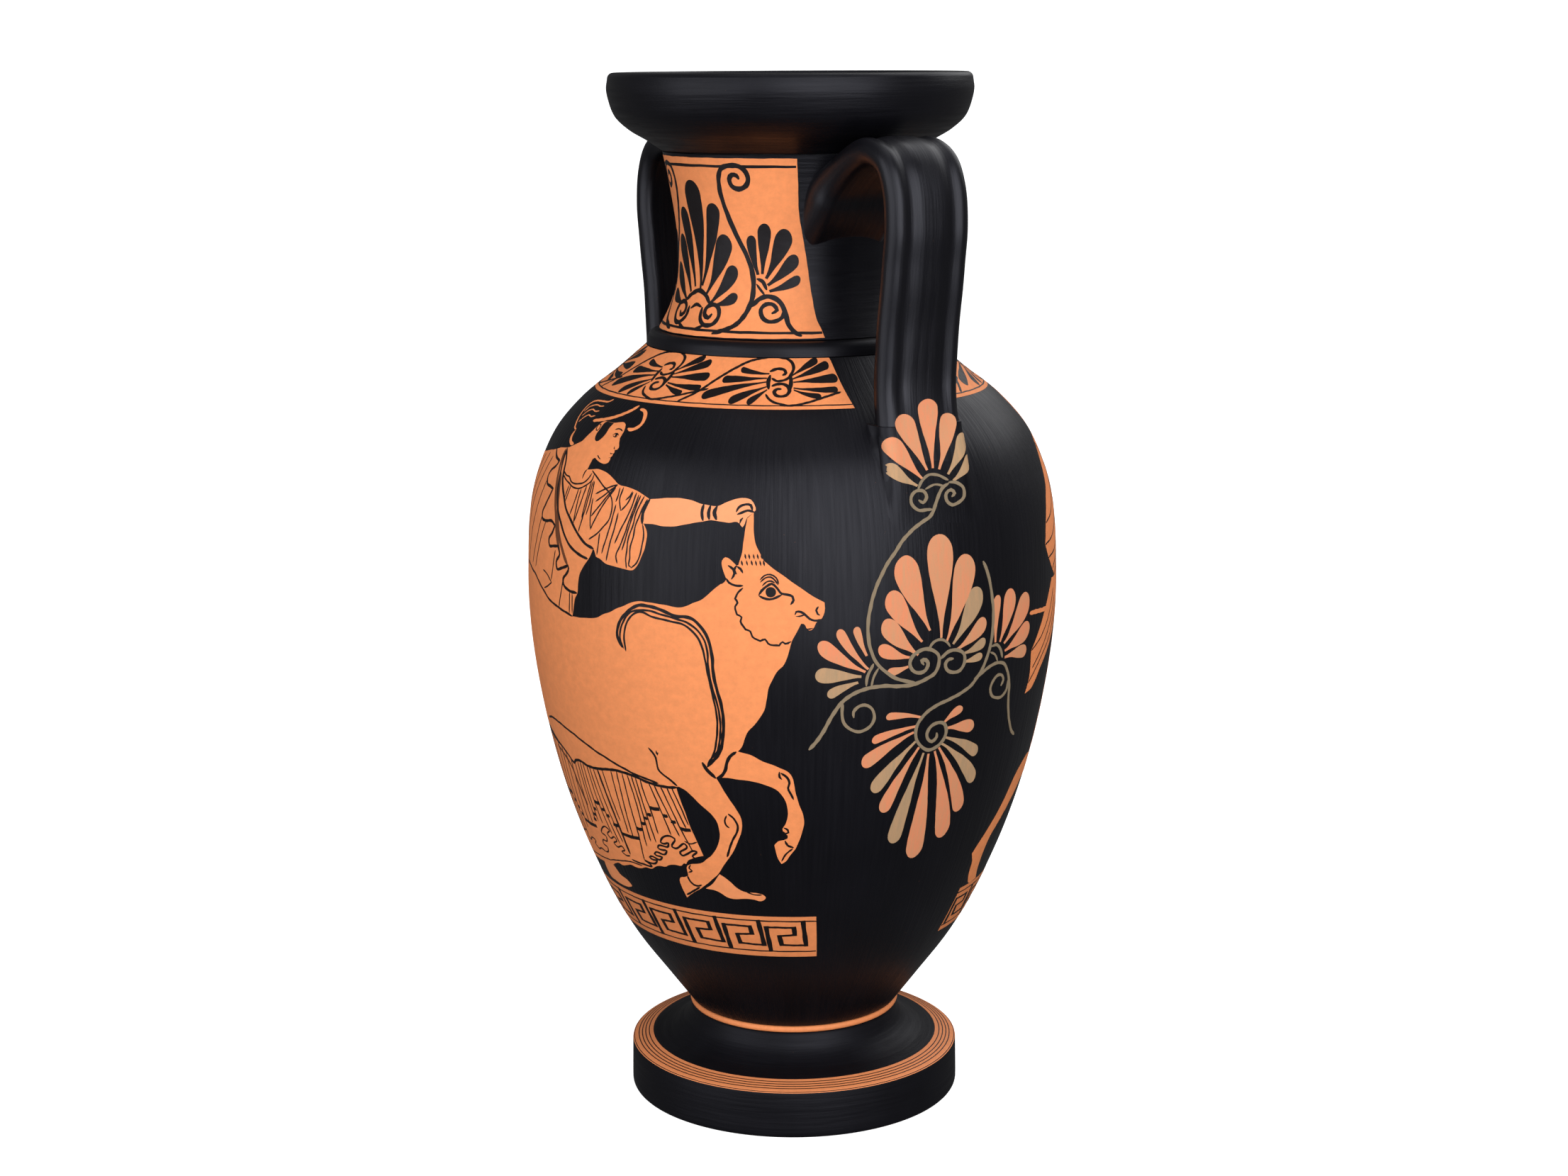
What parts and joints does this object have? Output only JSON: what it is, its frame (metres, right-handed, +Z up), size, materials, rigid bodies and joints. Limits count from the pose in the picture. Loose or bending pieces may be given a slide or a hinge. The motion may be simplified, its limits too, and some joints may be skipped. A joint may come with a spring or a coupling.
{
  "type": "amphora",
  "caption": "Tall neck-amphora with a flaring mouth, strap handles from neck to shoulder, and a disc foot, painted in red-figure style.",
  "frame": {"origin": "centre of the foot's standing ring, on the surface the vessel stands on", "axes": "+Z up along the vessel's turning axis; +X towards one handle and -X towards the other; the painted sides face -Y and +Y"},
  "size_m": [0.1846, 0.1846, 0.36],
  "materials": {
    "black_gloss": "satin black slip gloss with vertical brush marks",
    "reserved_clay": "smooth matte orange clay, left unpainted",
    "added_pink": "matte salmon-pink paint over the black",
    "added_grey": "matte grey-olive paint over the black"
  },
  "bodies": {
    "root": {"foot": "black_gloss", "foot_fillet": "reserved_clay", "body": "black_gloss", "neck_ring": "black_gloss", "neck": "black_gloss", "mouth": "black_gloss", "handle_right": "black_gloss", "handle_left": "black_gloss"}
  },
  "joints": []
}
